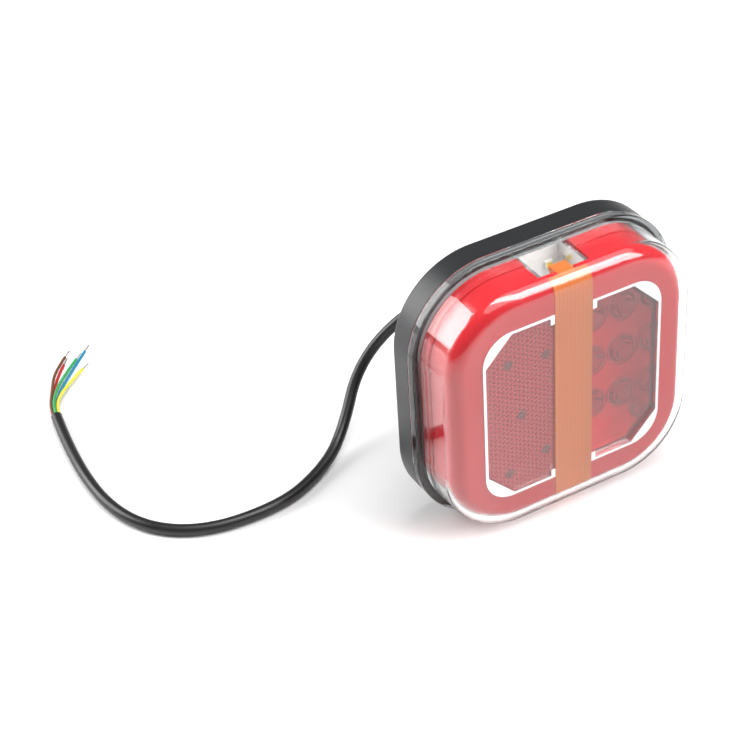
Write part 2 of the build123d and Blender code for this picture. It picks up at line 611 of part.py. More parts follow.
# ================================================================ cable gland, cable and cores
with BuildPart() as cable_gland:
    with BuildSketch(facing(GLAND_FLANGE_T)):
        Circle(GLAND_NECK_R)
    extrude(amount=GLAND_WALL - GLAND_FLANGE_T)
    with BuildSketch(facing(GLAND_WALL)):
        Circle(GLAND_NECK_R + 1.2)
    extrude(amount=GLAND_IN - GLAND_WALL)
    with BuildSketch(facing(0)):
        Circle(GLAND_FLANGE_R)
    extrude(amount=GLAND_FLANGE_T)
    fillet(cable_gland.edges().group_by(Axis.Y)[-1], 0.4)
    with BuildSketch(facing(0)):
        Circle(GLAND_NECK_R)
    with BuildSketch(facing(-GLAND_OUT)):
        Circle(CORD_D / 2 + 0.7)
    loft()
cable_gland.part.label = "cable_gland"
export_step(cable_gland.part, "parts/cable_gland.step")

with BuildPart() as inner_leads:
    for i, (pad_x, pad_z) in enumerate(LEAD_PADS):
        start_z = (i - 2) * (LEAD_D + 0.15)
        points = [(x, BACK_Y - d, MID_Z + z) for x, d, z in (
            (0, GLAND_IN, start_z), (0, LEAD_DEPTH, start_z), (1.6 * abs(i - 2) - 6.2, LEAD_DEPTH, start_z),
            (pad_x + 3.0, LEAD_DEPTH, pad_z), (pad_x, LEAD_DEPTH, pad_z), (pad_x, BOARD_FRONT + 0.9, pad_z),
        )]
        if start_z == pad_z:
            points = points[:2] + points[4:]
        with BuildLine() as lead_path:
            FilletPolyline(*points, radius=0.8)
        with BuildSketch(Plane(origin=points[0], z_dir=(0, -1, 0))):
            Circle(LEAD_D / 2)
        sweep(path=lead_path.line)
inner_leads.part.label = "inner_leads"
export_step(inner_leads.part, "parts/inner_leads.step")

with BuildPart() as potting_resin:
    with BuildSketch(facing(BACK_WALL)):
        RectangleRounded(LAMP_W - 2 * RIM, LAMP_H - 2 * RIM, CORNER_R - RIM)
    extrude(amount=BOARD_BACK - BACK_WALL)
    for piece in (rear_housing, mounting_studs, cable_gland, board_screws, inner_leads):
        add(piece.part, mode=Mode.SUBTRACT)
potting_resin.part.label = "potting_resin"
export_step(potting_resin.part, "parts/potting_resin.step")

cord_radii = bend_radii(CORD_ROUTE)
print("cord bend radii", [round(r, 1) for r in cord_radii])
with BuildPart() as cord_sheath:
    with BuildLine() as cord_line:
        FilletPolyline(*CORD_ROUTE, radius=cord_radii)
    with BuildSketch(Plane(origin=cord_line.line @ 0, z_dir=cord_line.line % 0)):
        Circle(CORD_D / 2)
    sweep(path=cord_line.line)
cord_sheath.part.label = "cord_sheath"
export_step(cord_sheath.part, "parts/cord_sheath.step")
cord_length = sum(edge.length for edge in cord_line.edges())
print("cord length", round(cord_length, 2), "volume", round(cord_sheath.part.volume, 1),
      "section x length", round(pi * CORD_D**2 / 4 * cord_length, 1))

END = Vector(*CORD_ROUTE[-1])
END_DIR = (END - Vector(*CORD_ROUTE[-2])).normalized()
END_SIDE = END_DIR.cross(Vector(0, 0, 1)).normalized()
tips = []
for colour, (angle, ground) in CORE_ROUTES.items():
    start = END + END_SIDE * (CORE_RING * cos(radians(angle))) + Vector(0, 0, CORE_RING * sin(radians(angle)))
    points = [tuple(start), tuple(start + END_DIR * CORE_STRAIGHT)] + [(x, y, start.Z) for x, y in ground]
    radii = bend_radii(points)
    print(colour, "core bend radii", [round(r, 1) for r in radii])
    with BuildPart() as core:
        with BuildLine() as core_line:
            FilletPolyline(*points, radius=radii)
        with BuildSketch(Plane(origin=core_line.line @ 0, z_dir=core_line.line % 0)):
            Circle(CORE_D / 2)
        sweep(path=core_line.line)
    core.part.label = f"core_{colour}"
    export_step(core.part, f"parts/core_{colour}.step")
    tips.append((core_line.line @ 1, core_line.line % 1))

with BuildPart() as core_tips:
    for place, direction in tips:
        with BuildSketch(Plane(origin=place, z_dir=direction)):
            Circle(TIP_D / 2)
        extrude(amount=TIP_LEN)
core_tips.part.label = "core_tips"
export_step(core_tips.part, "parts/core_tips.step")
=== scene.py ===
# %% [markdown]
# # A trailer tail light
# A square LED lamp stands on its lower edge with its lead on the ground beside it.
# Its parts come from CAD as solids in one shared frame. Here they get their finishes,
# and the pieces that CAD only blocks out (cord, cores, threads, cable gland) are
# modelled in detail. Everything is in metres.

# %% Load the frame
import math
import bpy
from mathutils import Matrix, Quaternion, Vector


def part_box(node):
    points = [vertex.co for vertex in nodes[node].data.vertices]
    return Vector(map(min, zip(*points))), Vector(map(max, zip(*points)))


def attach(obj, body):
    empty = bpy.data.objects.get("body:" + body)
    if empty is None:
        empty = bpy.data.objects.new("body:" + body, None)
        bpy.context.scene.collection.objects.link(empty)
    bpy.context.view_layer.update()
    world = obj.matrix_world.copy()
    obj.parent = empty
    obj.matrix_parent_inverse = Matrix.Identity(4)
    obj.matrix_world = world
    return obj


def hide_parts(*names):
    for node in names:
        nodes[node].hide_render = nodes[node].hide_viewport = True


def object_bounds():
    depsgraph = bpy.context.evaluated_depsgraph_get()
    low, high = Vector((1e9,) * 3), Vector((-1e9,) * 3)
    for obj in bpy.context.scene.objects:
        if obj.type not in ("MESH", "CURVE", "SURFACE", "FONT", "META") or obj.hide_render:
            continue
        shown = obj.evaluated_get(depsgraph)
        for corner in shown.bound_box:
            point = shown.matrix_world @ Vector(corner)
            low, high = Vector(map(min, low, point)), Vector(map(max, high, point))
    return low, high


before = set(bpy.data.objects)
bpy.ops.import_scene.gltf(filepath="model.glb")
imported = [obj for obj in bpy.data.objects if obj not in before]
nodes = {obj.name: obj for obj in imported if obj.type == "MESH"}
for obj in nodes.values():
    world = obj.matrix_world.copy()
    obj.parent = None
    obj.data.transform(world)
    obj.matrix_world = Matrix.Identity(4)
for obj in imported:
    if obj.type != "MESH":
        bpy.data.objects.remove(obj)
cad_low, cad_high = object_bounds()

MM = 0.001
print("CAD box", [round(v, 4) for v in cad_low], [round(v, 4) for v in cad_high])

# %% [markdown]
# ## The camera
# A long lens stands off the lamp's left front, about 36 degrees above it, and is tipped
# a little about its own line of sight. A track quaternion would give the aim, but the
# small roll is easier to add as a second turn about that line.

# %% Camera
CAMERA_AT = Vector((-0.30152, -0.45289, 0.44527))
CAMERA_AIM = Vector((-0.05363, 0.020, 0.05613))
CAMERA_ROLL = math.radians(4.12)
CAMERA_LENS = 97.5
CLIP_NEAR, CLIP_FAR = 0.05, 20

sight = (CAMERA_AIM - CAMERA_AT).normalized()
camera = bpy.data.objects.new("camera", bpy.data.cameras.new("camera"))
bpy.context.scene.collection.objects.link(camera)
camera.location = CAMERA_AT
camera.rotation_mode = "QUATERNION"
camera.rotation_quaternion = Quaternion(sight, CAMERA_ROLL) @ sight.to_track_quat("-Z", "Y")
camera.data.lens = CAMERA_LENS
camera.data.clip_start, camera.data.clip_end = CLIP_NEAR, CLIP_FAR
bpy.context.scene.camera = camera
bpy.context.scene.view_settings.view_transform = "Standard"
print("camera looks along", [round(v, 3) for v in sight])

# %% [markdown]
# ## The cord
# The lead is a round black sheath over five cores. It leaves the middle of the back,
# drops in a lazy curve to the ground and lies there in one open bend. A NURBS curve
# fits this well: its control points are the corners of the route, and the line rounds
# them the way a springy cable does. Each point carries the bar's radius, so a bevel of
# depth 1 gives the curve its thickness, and the object's box is no larger than the bar.

# %% Curves for cord and cores
def smooth_line(name, points, diameter, rings, steps):
    """A round bar of that diameter along a smooth NURBS line. Points and diameter are in mm."""
    curve = bpy.data.curves.new(name, "CURVE")
    curve.dimensions = "3D"
    spline = curve.splines.new("NURBS")
    spline.points.add(len(points) - 1)
    for point, place in zip(spline.points, points):
        point.co = (place[0] * MM, place[1] * MM, place[2] * MM, 1)
        point.radius = diameter / 2 * MM
    spline.order_u = 3
    spline.use_endpoint_u = True
    spline.use_smooth = True
    curve.resolution_u = steps
    curve.bevel_depth = 1
    curve.bevel_resolution = rings
    curve.use_fill_caps = True
    line = bpy.data.objects.new(name, curve)
    bpy.context.scene.collection.objects.link(line)
    return line


print("curve helper ready")

# %% The sheath
CORD_D = 4.2
CORD_ROUTE = [
    (0, 20.5, 50), (0, 38.5, 50), (-13, 53.2, 48.4), (-32.7, 65, 24),
    (-49.3, 50.8, 5.6), (-62.6, 41.3, 2.15), (-84.4, 31.5, 2.15), (-116.2, 34.5, 2.15),
    (-134.6, 55.2, 2.15), (-136.2, 93.4, 2.15), (-130.3, 124.1, 2.15),
]
cord = smooth_line("cord", CORD_ROUTE, CORD_D, rings=10, steps=20)
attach(cord, "root")
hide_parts("cord_sheath")
print("cord route has", len(CORD_ROUTE), "points")

# %% [markdown]
# ## The cores
# Five thin insulated wires fan out of the sheath's end. Each keeps its place in the
# bundle for a few millimetres, then bends away at its own height above the ground.
# They are the same kind of curve as the cord, only thinner, so they share the helper.

# %% Cores
CORE_D = 1.2
CORE_RING = 1.15
CORE_STRAIGHT = 6.0
CORE_ROUTES = {
    "brown": (162, [(-125.6, 139.6), (-120.5, 149.8), (-112.9, 157.0)]),
    "red": (234, [(-124.6, 140.4), (-119.6, 148.6), (-114.8, 154.2)]),
    "green": (90, [(-124.2, 138.2), (-118.4, 144.6), (-110.1, 152.2)]),
    "blue": (306, [(-123.0, 139.0), (-114.9, 147.6), (-104.3, 158.0)]),
    "yellow": (18, [(-123.2, 136.2), (-116.6, 141.4), (-110.4, 145.8)]),
}
cord_end = Vector(CORD_ROUTE[-1])
end_along = (cord_end - Vector(CORD_ROUTE[-2])).normalized()
end_side = end_along.cross(Vector((0, 0, 1))).normalized()

core_lines, core_ends = {}, {}
for colour, (angle, ground) in CORE_ROUTES.items():
    turn = math.radians(angle)
    start = cord_end + end_side * (CORE_RING * math.cos(turn)) + Vector((0, 0, CORE_RING * math.sin(turn)))
    route = [start, start + end_along * CORE_STRAIGHT]
    route += [Vector((x, y, start.z)) for x, y in ground]
    core = smooth_line("wire_" + colour, route, CORE_D, rings=5, steps=10)
    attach(core, "root")
    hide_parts("core_" + colour)
    core_lines[colour] = core
    core_ends[colour] = (route[-1], (route[-1] - route[-2]).normalized())
print("cores", sorted(core_lines))

# %% [markdown]
# ## Helpers for meshes
# The tips, the gland and the studs are small turned or twisted parts. Each is modelled
# lying at some handy place. Its place is then put into its mesh, doubles are merged and
# faces are turned outwards, so that every part is finished the same way.

# %% Mesh helpers
def deselect():
    bpy.ops.object.select_all(action="DESELECT")


def settle(piece):
    """Leaves the piece's place in its mesh, with its object at the origin."""
    deselect()
    piece.select_set(True)
    bpy.context.view_layer.objects.active = piece
    bpy.ops.object.transform_apply(location=True, rotation=True, scale=True)


def face_outwards(piece):
    """Merges doubles and turns every face outwards."""
    deselect()
    piece.select_set(True)
    bpy.context.view_layer.objects.active = piece
    bpy.ops.object.mode_set(mode="EDIT")
    bpy.ops.mesh.select_all(action="SELECT")
    bpy.ops.mesh.remove_doubles(threshold=0.000001)
    bpy.ops.mesh.normals_make_consistent(inside=False)
    bpy.ops.object.mode_set(mode="OBJECT")


def join(pieces, name):
    deselect()
    for piece in pieces:
        piece.select_set(True)
    bpy.context.view_layer.objects.active = pieces[0]
    bpy.ops.object.join()
    pieces[0].name = name
    pieces[0].data.name = name
    return pieces[0]


print("mesh helpers ready")

# %% [markdown]
# ## Bare strand tips
# The last few millimetres of each core are stripped, and the strands are twisted and
# tinned. One tip is six round strands about a seventh, pulled up in short steps and
# then wound by a twist modifier. It is modelled once and copied to the five cores.

# %% One twisted tip
TIP_LENGTH = 4.5
TIP_SUNK = 0.3
TIP_TWIST = math.radians(300)
STRAND_R = 0.13
STRAND_RING = 0.262
STRANDS_ROUND = 6
STRAND_STEPS = 9

strands = []
for i in range(STRANDS_ROUND + 1):
    away = 0 if i == STRANDS_ROUND else STRAND_RING
    spot = (away * math.cos(i * math.pi / 3) * MM, away * math.sin(i * math.pi / 3) * MM, 0)
    deselect()
    bpy.ops.mesh.primitive_circle_add(vertices=8, radius=STRAND_R * MM, fill_type="NGON", location=spot)
    bpy.ops.object.mode_set(mode="EDIT")
    bpy.ops.mesh.select_all(action="SELECT")
    for _ in range(STRAND_STEPS):
        bpy.ops.mesh.extrude_region_move(
            TRANSFORM_OT_translate={"value": (0, 0, TIP_LENGTH / STRAND_STEPS * MM)})
    bpy.ops.object.mode_set(mode="OBJECT")
    strands.append(bpy.context.active_object)
tip = join(strands, "tip")
settle(tip)
twist = tip.modifiers.new("twist", "SIMPLE_DEFORM")
twist.deform_method = "TWIST"
twist.deform_axis = "Z"
twist.angle = TIP_TWIST
bpy.ops.object.modifier_apply(modifier=twist.name)
face_outwards(tip)
bpy.ops.object.shade_smooth_by_angle(angle=math.radians(50))
print("one tip has", len(tip.data.polygons), "faces")

# %% Five tips
tips = []
for end, along in core_ends.values():
    copy = tip.copy()
    copy.data = tip.data.copy()
    bpy.context.scene.collection.objects.link(copy)
    copy.location = (end - along * TIP_SUNK) * MM
    copy.rotation_mode = "QUATERNION"
    copy.rotation_quaternion = along.to_track_quat("Z", "Y")
    tips.append(copy)
    settle(copy)
bpy.data.objects.remove(tip)
strand_tips = join(tips, "strand_tips")
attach(strand_tips, "root")
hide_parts("core_tips")
print("five tips have", len(strand_tips.data.polygons), "faces")

# %% [markdown]
# ## The cable gland
# A moulded black plug closes the hole in the back: a flat flange in a shallow recess,
# a neck through the wall, and a ribbed nose that gets thinner towards the cord, so the
# cord bends over a length and not at one edge. All of it is round about one line, so a
# circle is pulled along that line and resized at each step.

# %% Turned parts
BACK_FACE_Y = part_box("rear_housing")[1].y
gland_low, gland_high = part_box("cable_gland")
GLAND_MID = (gland_low + gland_high) / 2
NOSE_LENGTH = 14.0
NOSE_ROOT_R, NOSE_END_R = 4.5, 2.8
RIB_COUNT = 5

def turned(name, middle, profile, sides=48):
    """A round piece about a line along Y. profile is (place along Y, radius), in metres."""
    deselect()
    bpy.ops.mesh.primitive_circle_add(
        vertices=sides, radius=profile[0][1], fill_type="NGON",
        location=(middle.x, profile[0][0], middle.z), rotation=(math.pi / 2, 0, 0))
    piece = bpy.context.active_object
    piece.name = piece.data.name = name
    bpy.ops.object.mode_set(mode="EDIT")
    bpy.ops.mesh.select_all(action="SELECT")
    for (y, radius), (next_y, next_radius) in zip(profile, profile[1:]):
        bpy.ops.mesh.extrude_region_move(TRANSFORM_OT_translate={"value": (0, next_y - y, 0)})
        bpy.ops.transform.resize(
            value=(next_radius / radius,) * 3, center_override=(middle.x, next_y, middle.z))
    bpy.ops.object.mode_set(mode="OBJECT")
    settle(piece)
    face_outwards(piece)
    return piece


print("the back face is at y", round(BACK_FACE_Y, 4))

# %% Gland
gland_profile = [
    (-4.2, 5.5), (-4.0, 5.7), (-3.7, 5.7), (-3.6, 4.5),
    (-1.2, 4.5), (-1.1, 7.0), (-0.25, 7.0), (0, 6.75),
    (0, NOSE_ROOT_R + 0.5), (0.5, NOSE_ROOT_R),
]
for rib in range(RIB_COUNT):
    share = (rib + 0.5) / RIB_COUNT
    y = share * (NOSE_LENGTH - 0.6) + 0.4
    radius = NOSE_ROOT_R + (NOSE_END_R - NOSE_ROOT_R) * share
    gland_profile += [
        (y - 0.75, radius), (y - 0.6, radius - 0.75),
        (y + 0.5, radius - 0.8), (y + 0.65, radius - 0.1),
    ]
gland_profile += [(NOSE_LENGTH - 0.3, NOSE_END_R), (NOSE_LENGTH, NOSE_END_R - 0.25)]
gland = turned("ribbed_gland", GLAND_MID, [(BACK_FACE_Y + y * MM, r * MM) for y, r in gland_profile])
bpy.ops.object.shade_smooth_by_angle(angle=math.radians(35))
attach(gland, "root")
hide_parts("cable_gland")
print("gland has", len(gland.data.polygons), "faces")

# %% [markdown]
# ## What the cord is
# The sheath, its cores, their tips and the gland belong together as one lead.

# %% [markdown]
# ## Threaded studs
# Two M5 studs with hexagon heads are held in the back wall. A real thread is one ridge
# wound round the rod. Seen end on, such a rod is a circle pushed off its centre, so one
# off-centre circle, pulled out in short steps and wound once per pitch by a twist
# modifier, gives the whole thread with closed ends.

# %% One stud
STUD_LOW, STUD_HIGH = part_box("mounting_studs")
STUD_R, STUD_SHOULDER_R, STUD_HEAD_AF, STUD_HEAD_T = 2.5, 3.0, 8.0, 3.5
STUD_PITCH, THREAD_DEPTH = 0.8, 0.22
STUD_SHOULDER_IN = 2.4
THREAD_SIDES = 28
THREAD_STEPS_PER_TURN = 10
THREAD_END_SCALE = 0.84
STUD_X = 30.0
STUD_Z = (STUD_LOW.z + STUD_HIGH.z) / 2
shoulder_y = BACK_FACE_Y - STUD_SHOULDER_IN * MM

thread_length = STUD_HIGH.y - BACK_FACE_Y - 0.5 * MM
thread_turns = thread_length / (STUD_PITCH * MM)
thread_steps = round(thread_turns * THREAD_STEPS_PER_TURN)
deselect()
bpy.ops.mesh.primitive_circle_add(
    vertices=THREAD_SIDES, radius=(STUD_R - THREAD_DEPTH) * MM, fill_type="NGON",
    location=(THREAD_DEPTH * MM, 0, 0))
rod = bpy.context.active_object
bpy.ops.object.mode_set(mode="EDIT")
bpy.ops.mesh.select_all(action="SELECT")
for _ in range(thread_steps):
    bpy.ops.mesh.extrude_region_move(
        TRANSFORM_OT_translate={"value": (0, 0, thread_length / thread_steps)})
bpy.ops.transform.resize(
    value=(THREAD_END_SCALE, THREAD_END_SCALE, 1), center_override=(0, 0, thread_length))
bpy.ops.object.mode_set(mode="OBJECT")
settle(rod)
wind = rod.modifiers.new("wind", "SIMPLE_DEFORM")
wind.deform_method = "TWIST"
wind.deform_axis = "Z"
wind.angle = 2 * math.pi * thread_turns
bpy.ops.object.modifier_apply(modifier=wind.name)
rod.rotation_euler = (-math.pi / 2, 0, 0)
rod.location = (STUD_X * MM, BACK_FACE_Y + 0.3 * MM, STUD_Z)
settle(rod)
face_outwards(rod)
print("thread has", round(thread_turns, 1), "turns and", len(rod.data.polygons), "faces")

# %% Its head and shoulder
stud_middle = Vector((STUD_X * MM, 0, STUD_Z))
shoulder = turned("shoulder", stud_middle, [
    (shoulder_y - 0.5 * MM, STUD_SHOULDER_R * MM), (BACK_FACE_Y - 0.2 * MM, STUD_SHOULDER_R * MM),
    (BACK_FACE_Y, (STUD_SHOULDER_R - 0.2) * MM), (BACK_FACE_Y + 0.01 * MM, 2.3 * MM),
    (BACK_FACE_Y + 0.4 * MM, 2.2 * MM)], sides=32)
HEX_R = STUD_HEAD_AF / 2 / math.cos(math.pi / 6)
head = turned("head", stud_middle, [
    (STUD_LOW.y, (HEX_R - 0.5) * MM), (STUD_LOW.y + 0.3 * MM, HEX_R * MM),
    (STUD_LOW.y + (STUD_HEAD_T - 0.05) * MM, HEX_R * MM),
    (STUD_LOW.y + STUD_HEAD_T * MM, (HEX_R - 0.1) * MM)], sides=6)
stud = join([rod, shoulder, head], "stud_right")
bpy.ops.object.shade_smooth_by_angle(angle=math.radians(40))
print("one stud has", len(stud.data.polygons), "faces")

# %% Its twin
twin = stud.copy()
twin.data = stud.data.copy()
bpy.context.scene.collection.objects.link(twin)
twin.location.x = -2 * STUD_X * MM
settle(twin)
studs = join([stud, twin], "threaded_studs")
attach(studs, "root")
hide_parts("mounting_studs")
print("both studs have", len(studs.data.polygons), "faces")

# %% [markdown]
# ## The studio
# The lamp stands on a plain pale floor. A curved backdrop would hide the line where floor
# and wall meet, but the camera looks down and never reaches it, so one wide plane is
# enough. In low views from other sides that line shows as a grey band. The floor's finish
# is a plain material, and the same helper makes all the materials below.

# %% Floor
FLOOR_SIZE, FLOOR_GAP = 60, 0.00005
deselect()
bpy.ops.mesh.primitive_plane_add(size=FLOOR_SIZE, location=(0, 0, cad_low.z - FLOOR_GAP))
floor = bpy.context.active_object
floor.name = "floor"
print("the floor is", FLOOR_SIZE, "m wide")


# %% Materials
def new_material(name, colour, roughness, **values):
    """A Principled material. Other values are socket names, with _ for a space."""
    material = bpy.data.materials.new(name)
    material.use_nodes = True
    shader = material.node_tree.nodes["Principled BSDF"]
    shader.inputs["Base Color"].default_value = (*colour, 1)
    shader.inputs["Roughness"].default_value = roughness
    for socket, value in values.items():
        shader.inputs[socket.replace("_", " ")].default_value = value
    return material


def paint(material, *parts):
    """Gives pieces or CAD nodes this material."""
    for part in parts:
        part = nodes[part] if isinstance(part, str) else part
        if len(part.material_slots):
            part.material_slots[0].material = material
        else:
            part.data.materials.append(material)


paint(new_material("floor_white", (0.9, 0.9, 0.9), 0.9, Specular_IOR_Level=0.1), floor)
print("floor painted")

# %% [markdown]
# ## Lights
# A glossy lamp shows its lights as clear shapes on its cover, so their size and place
# matter more than their power. Three stand round it: a very soft one overhead that makes
# the floor even, a long softbox whose reflection runs along the rounded front edge, and one
# behind on the left whose reflection lies on the rounded corner. The room itself is dim.

# %% Nodes
def add_node(tree, kind, links=(), **values):
    """A node with its settings, and its inputs linked as (input, socket) says."""
    node = tree.nodes.new(kind)
    for key, value in values.items():
        setattr(node, key, value)
    for key, source in dict(links).items():
        if hasattr(source, "is_output"):
            tree.links.new(source, node.inputs[key])
        else:
            node.inputs[key].default_value = source
    return node


print("node helper ready")

# %% Lights
MIDDLE = Vector((0, -0.009, 0.05))

def light(name, kind, way, distance, power, **values):
    """A light on the side that way points to, aimed at the middle of the lamp."""
    lamp = bpy.data.lights.new(name, kind)
    lamp.energy = power
    for key, value in values.items():
        setattr(lamp, key, value)
    holder = bpy.data.objects.new(name, lamp)
    bpy.context.scene.collection.objects.link(holder)
    way = Vector(way).normalized()
    holder.location = MIDDLE + way * distance
    holder.rotation_mode = "QUATERNION"
    holder.rotation_quaternion = (-way).to_track_quat("-Z", "Y")


light("overhead", "SUN", (0.2, -0.25, 0.95), 2.0, 1.0, angle=math.radians(60))
light("ceiling_softbox", "AREA", (0.37, -0.42, 0.83), 1.0, 13.0,
      shape="RECTANGLE", size=0.34, size_y=1.7)
light("rim_softbox", "AREA", (-0.64, 0.65, 0.41), 0.8, 6.0,
      shape="RECTANGLE", size=0.5, size_y=0.6)
print("lights", sorted(lamp.name for lamp in bpy.data.lights))

# %% [markdown]
# ## The room
# A white world would light the lamp from all sides and wash out its colours. So the lamp
# is lit by and mirrors a dim room, while the wall behind it is seen pale.

# %% Room
ROOM_LIGHT, WALL_LIGHT = 0.25, 0.92
world = bpy.data.worlds.new("room")
bpy.context.scene.world = world
world.use_nodes = True
room_tree = world.node_tree
room_tree.nodes["Background"].inputs["Color"].default_value = (1, 1, 1, 1)
room_tree.nodes["Background"].inputs["Strength"].default_value = ROOM_LIGHT
wall = add_node(room_tree, "ShaderNodeBackground", {"Color": (1, 1, 1, 1), "Strength": WALL_LIGHT})
seen = add_node(room_tree, "ShaderNodeLightPath")
room_mix = add_node(room_tree, "ShaderNodeMixShader", {0: seen.outputs["Is Camera Ray"]})
room_tree.links.new(room_tree.nodes["Background"].outputs[0], room_mix.inputs[1])
room_tree.links.new(wall.outputs[0], room_mix.inputs[2])
room_tree.links.new(room_mix.outputs[0], room_tree.nodes["World Output"].inputs["Surface"])
print("room light", ROOM_LIGHT, "wall", WALL_LIGHT)

# %% [markdown]
# ## Shared effects
# Moulded plastic is never one flat value: the steel mould leaves a fine grain, and the
# shine changes a little over the surface. The grain is a small node group that puts out
# a roughness and a height, so each plastic only sets its own scale and range.

# %% Node groups
def new_group(name, inputs, outputs):
    group = bpy.data.node_groups.new(name, "ShaderNodeTree")
    for label, kind, value in inputs:
        socket = group.interface.new_socket(label, in_out="INPUT", socket_type=kind)
        if value is not None:
            socket.default_value = value
    for label, kind in outputs:
        group.interface.new_socket(label, in_out="OUTPUT", socket_type=kind)
    return group, group.nodes.new("NodeGroupInput"), group.nodes.new("NodeGroupOutput")


print("group helper ready")

# %% Grain group
FLOAT, VECTOR = "NodeSocketFloat", "NodeSocketVector"
grain, grain_in, grain_out = new_group(
    "moulded_grain",
    [("Place", VECTOR, None), ("Scale", FLOAT, 1200.0), ("Smooth", FLOAT, 0.3), ("Rough", FLOAT, 0.5)],
    [("Roughness", FLOAT), ("Height", FLOAT)])
fine = add_node(grain, "ShaderNodeTexNoise", {
    "Vector": grain_in.outputs["Place"], "Scale": grain_in.outputs["Scale"], "Detail": 3.0})
broad = add_node(grain, "ShaderNodeTexNoise", {
    "Vector": grain_in.outputs["Place"], "Scale": 45.0, "Detail": 2.0})
spread = add_node(grain, "ShaderNodeMapRange", {
    "Value": broad.outputs["Fac"], "From Min": 0.3, "From Max": 0.7,
    "To Min": grain_in.outputs["Smooth"], "To Max": grain_in.outputs["Rough"]})
grain.links.new(spread.outputs["Result"], grain_out.inputs["Roughness"])
grain.links.new(fine.outputs["Fac"], grain_out.inputs["Height"])
print(grain.name, "has", len(grain.nodes), "nodes")


# %% Using a group in a material
def use_group(material, group, **values):
    """Places a group in a material, reading Object coordinates."""
    tree = material.node_tree
    place = add_node(tree, "ShaderNodeTexCoord")
    node = add_node(tree, "ShaderNodeGroup", node_tree=group)
    tree.links.new(place.outputs["Object"], node.inputs["Place"])
    for key, value in values.items():
        node.inputs[key].default_value = value
    return node


def shader_of(material):
    return material.node_tree.nodes["Principled BSDF"]


def raise_surface(material, height, strength, distance):
    """Feeds a height to the material's normal. distance is in mm."""
    tree = material.node_tree
    bump = add_node(tree, "ShaderNodeBump", {
        "Height": height, "Strength": strength, "Distance": distance * MM})
    tree.links.new(bump.outputs["Normal"], shader_of(material).inputs["Normal"])


def add_grain(material, scale, smooth, rough, strength, distance=0.02):
    node = use_group(material, grain, Scale=scale, Smooth=smooth, Rough=rough)
    material.node_tree.links.new(node.outputs["Roughness"], shader_of(material).inputs["Roughness"])
    raise_surface(material, node.outputs["Height"], strength, distance)


print("surface helpers ready")

# %% [markdown]
# ## Housing, seal and sheath
# The housing is black polypropylene with a fine spark-eroded grain, so highlights on it
# are wide and grey. The sheath of the cord is satin PVC. The seal between housing and cover
# is painted pale grey, a painted highlight that reads as a light line along the clear
# flange. All of them could be plain colours, but the shared grain breaks up their highlights.

# %% Housing, seal and sheath finishes
housing_black = new_material("housing_black", (0.016, 0.017, 0.019), 0.4)
add_grain(housing_black, 1500.0, 0.34, 0.44, 0.25)
paint(housing_black, "rear_housing")

# The seal's pale grey is a painted highlight: it makes a light line along the clear flange.
seal_silicone = new_material("seal_silicone", (0.66, 0.67, 0.68), 0.45)
add_grain(seal_silicone, 260.0, 0.35, 0.6, 0.3, 0.05)
paint(seal_silicone, "lens_seal")

resin_black = new_material("resin_black", (0.012, 0.012, 0.014), 0.25)
add_grain(resin_black, 120.0, 0.15, 0.3, 0.15, 0.1)
paint(resin_black, "potting_resin")

sheath_black = new_material("sheath_black", (0.012, 0.012, 0.013), 0.35)
add_grain(sheath_black, 700.0, 0.28, 0.42, 0.3)
paint(sheath_black, cord, gland)
print("painted housing, seal, resin, sheath and gland")

# %% [markdown]
# ## Prism cells and posts
# A reflex lens throws light back from hundreds of tiny cube corners on its rear, which
# look like a mesh of small cells from the front. Modelled, they would cost far too many
# faces. Three sets of bands, a sixth of a turn apart, multiplied together give the same
# mesh as one mask. The mask bumps the lens and also mixes a dark and a bright red over it:
# the cell pattern is moulded, while its dark and bright reds are painted shade and painted
# highlight on the facets. Five round posts behind the lens show through as darker spots.

# %% Prism cells
PRISM_PITCH = 0.8
REFLEX_POSTS = [(-20, 48), (-10.5, 68.5), (-10.5, 29.5), (-25, 70), (-25, 25.5)]
POST_R = 1.9

prism_cells, cells_in, cells_out = new_group(
    "prism_cells", [("Place", VECTOR, None), ("Pitch", FLOAT, 0.0015)], [("Cell", FLOAT)])
cell_shade = None
for turn in (0, 60, 120):
    slope = Vector((math.cos(math.radians(turn)), 0, math.sin(math.radians(turn))))
    along = add_node(
        prism_cells, "ShaderNodeVectorMath",
        {0: cells_in.outputs["Place"], 1: slope}, operation="DOT_PRODUCT")
    count = add_node(
        prism_cells, "ShaderNodeMath",
        {0: along.outputs["Value"], 1: cells_in.outputs["Pitch"]}, operation="DIVIDE")
    ramp = add_node(prism_cells, "ShaderNodeMath", {0: count.outputs[0], 1: 1.0}, operation="PINGPONG")
    if cell_shade is None:
        cell_shade = ramp.outputs[0]
    else:
        both = add_node(
            prism_cells, "ShaderNodeMath", {0: cell_shade, 1: ramp.outputs[0]}, operation="MULTIPLY")
        cell_shade = both.outputs[0]
cell_spread = add_node(
    prism_cells, "ShaderNodeMapRange", {"Value": cell_shade, "From Min": 0.0, "From Max": 0.45})
prism_cells.links.new(cell_spread.outputs["Result"], cells_out.inputs["Cell"])
print(prism_cells.name, "has", len(prism_cells.nodes), "nodes")

